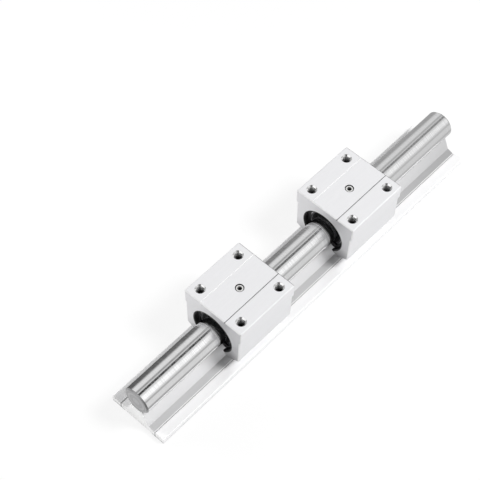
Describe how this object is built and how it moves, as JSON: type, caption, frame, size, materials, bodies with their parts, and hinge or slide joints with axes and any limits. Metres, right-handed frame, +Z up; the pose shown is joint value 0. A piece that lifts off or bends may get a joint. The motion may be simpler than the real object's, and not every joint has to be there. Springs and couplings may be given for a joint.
{
  "type": "supported round rail",
  "caption": "Ground round shaft on an extruded aluminium support, with open pillow blocks that slide along it on ball bushes and carry a plate on their tapped tops.",
  "frame": {"origin": "middle of the rail's base, on the surface it stands on", "axes": "+X along the rail towards the rear block, +Y across it, +Z up"},
  "size_m": [0.3, 0.048, 0.05],
  "materials": {
    "ground_steel": "hardened, ground and plated bright",
    "anodised_extrusion": "drawn and clear anodised, satin",
    "anodised_housing": "fine milled and clear anodised, satin",
    "bearing_steel": "hardened and ground",
    "ball_steel": "polished",
    "retainer_plastic": "moulded, matt",
    "seal_rubber": "moulded, oily satin",
    "black_spring_steel": "black oxide",
    "black_screw_steel": "black oxide",
    "plated_screw_steel": "zinc plated"
  },
  "bodies": {
    "rail": {"shaft": "ground_steel", "support_rail": "anodised_extrusion", "shaft_screws": "black_screw_steel"},
    "front_block": {"front_housing": "anodised_housing", "front_bearing_sleeve": "bearing_steel", "front_ball_retainer": "retainer_plastic", "front_bearing_balls": "ball_steel", "front_near_seal": "seal_rubber", "front_far_seal": "seal_rubber", "front_near_retaining_ring": "black_spring_steel", "front_far_retaining_ring": "black_spring_steel", "front_set_screw": "plated_screw_steel"},
    "rear_block": {"rear_housing": "anodised_housing", "rear_bearing_sleeve": "bearing_steel", "rear_ball_retainer": "retainer_plastic", "rear_bearing_balls": "ball_steel", "rear_near_seal": "seal_rubber", "rear_far_seal": "seal_rubber", "rear_near_retaining_ring": "black_spring_steel", "rear_far_retaining_ring": "black_spring_steel", "rear_set_screw": "plated_screw_steel"}
  },
  "joints": [
    {"name": "front_block_slide", "type": "slide", "parent": "rail", "child": "front_block", "axis": [1, 0, 0], "range_m": [-0.068, 0.0275]},
    {"name": "rear_block_slide", "type": "slide", "parent": "rail", "child": "rear_block", "axis": [1, 0, 0], "range_m": [-0.0275, 0.076]}
  ]
}
